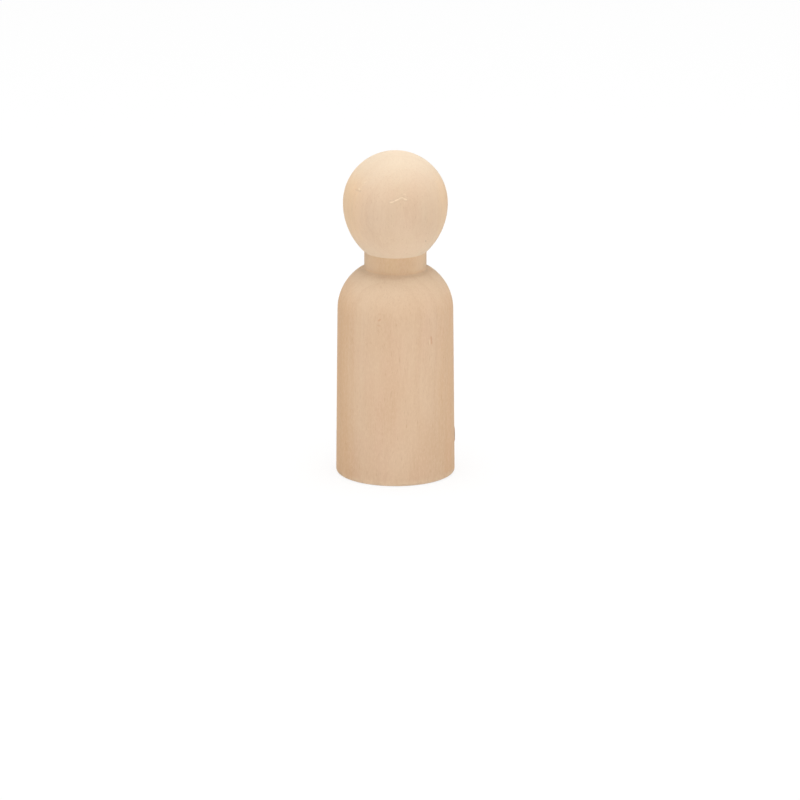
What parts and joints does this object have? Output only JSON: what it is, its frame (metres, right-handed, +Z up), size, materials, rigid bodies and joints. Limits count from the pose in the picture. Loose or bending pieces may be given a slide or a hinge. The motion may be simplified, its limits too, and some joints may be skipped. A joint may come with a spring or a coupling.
{
  "type": "peg doll",
  "caption": "Bare turned wooden peg doll with a round head, a short dowel neck and a round-shouldered body that stands on its flat base.",
  "frame": {"origin": "middle of the flat base", "axes": "+Z up, along the axis that the doll is turned on; the doll is round, so X and Y are free, and the pictured side faces -Y"},
  "size_m": [0.0126, 0.0126, 0.035],
  "materials": {
    "body_wood": "bare sanded pale hardwood, matte",
    "dowel_wood": "bare pale hardwood dowel, matte",
    "head_wood": "bare sanded pale hardwood, matte"
  },
  "bodies": {
    "root": {"body": "body_wood", "neck_dowel": "dowel_wood", "head": "head_wood"}
  },
  "joints": []
}
